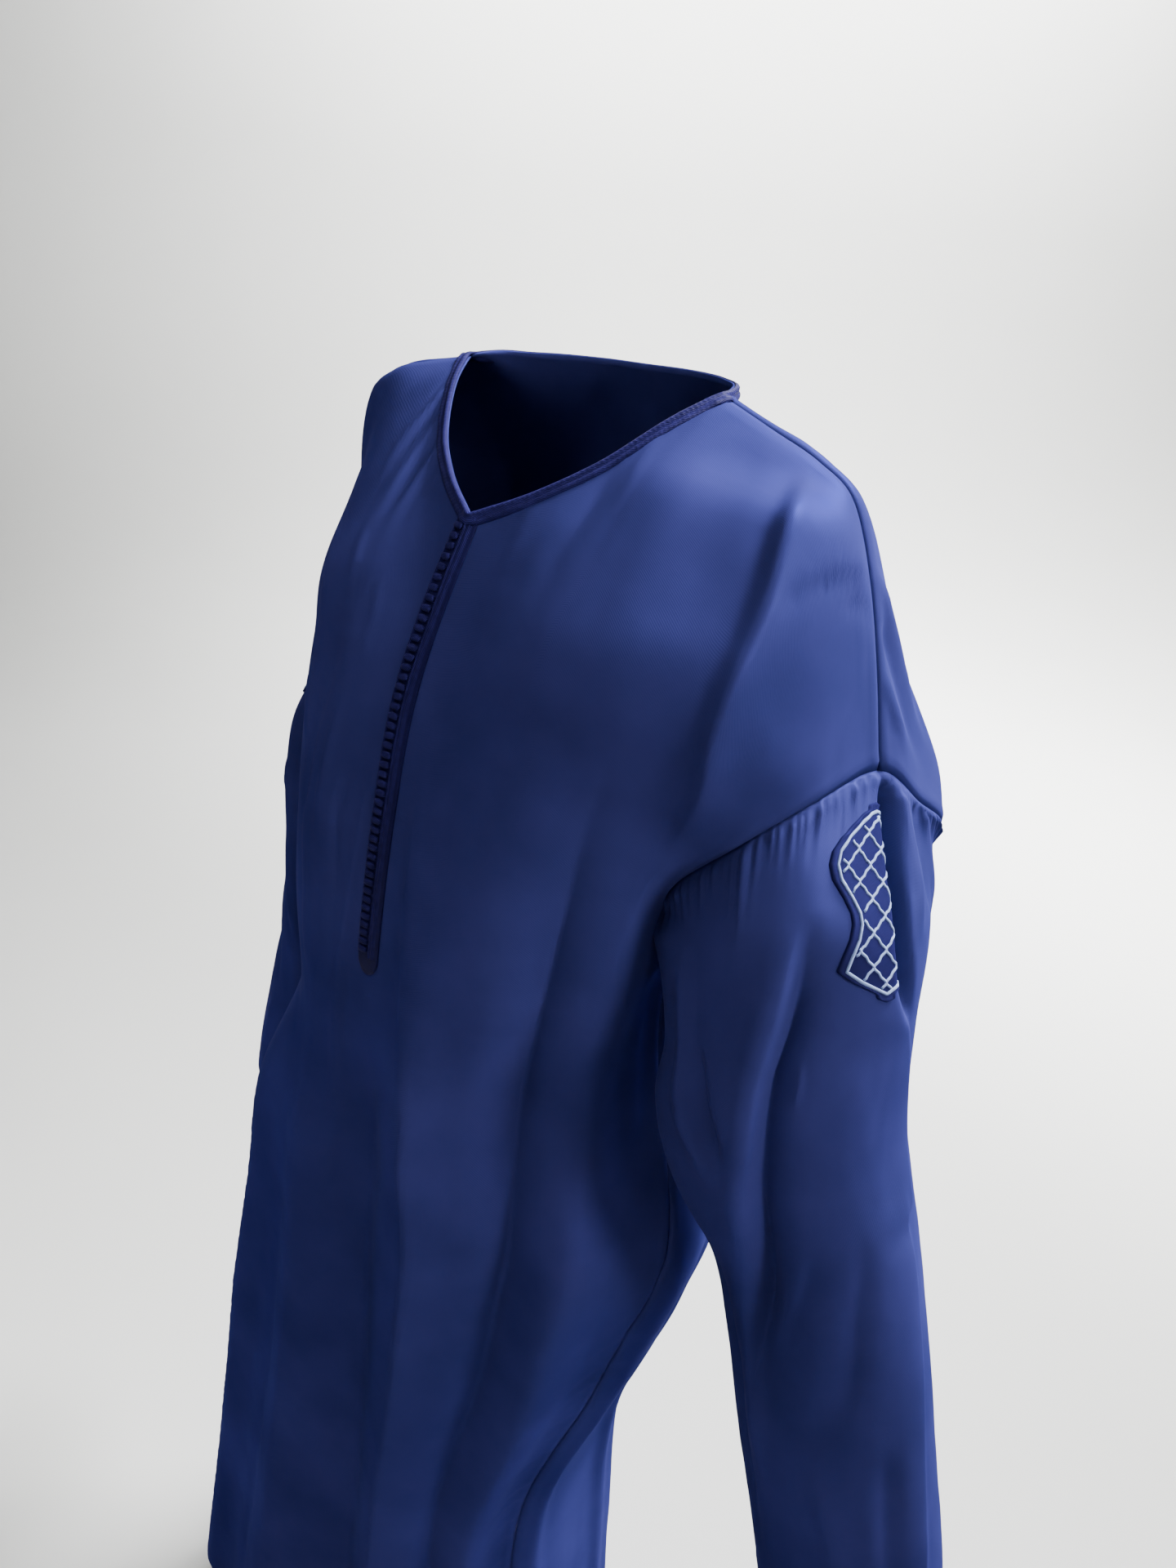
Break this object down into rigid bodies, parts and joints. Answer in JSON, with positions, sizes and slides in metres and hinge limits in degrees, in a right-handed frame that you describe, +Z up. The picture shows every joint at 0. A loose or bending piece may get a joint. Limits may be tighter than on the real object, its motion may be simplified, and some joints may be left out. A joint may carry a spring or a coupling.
{
  "type": "djellaba",
  "caption": "Ankle-length hoodless robe, worn open and hollow, with a braided V neck, a closed loop placket, dropped shoulders and long gathered sleeves with a patch on each.",
  "frame": {"origin": "middle of the neck hole, level with the points where the shoulder seams meet the neckline", "axes": "+Z up, -Y towards the garment's front, +X towards the wearer's left arm"},
  "size_m": [0.852, 0.373, 1.4382],
  "materials": {
    "blue_satin": "soft satin sheen with a fine twill",
    "sleeve_satin": "soft satin sheen with a fine twill",
    "braid_navy": "silky cord",
    "placket_navy": "silky cord",
    "patch_navy": "satin with light blue embroidery"
  },
  "bodies": {
    "root": {"front": "blue_satin", "back": "blue_satin", "sleeve_left": "sleeve_satin", "sleeve_right": "sleeve_satin", "neck_braid": "braid_navy", "placket_loops": "placket_navy", "placket_band": "placket_navy", "patch_left": "patch_navy", "patch_right": "patch_navy"}
  },
  "joints": []
}
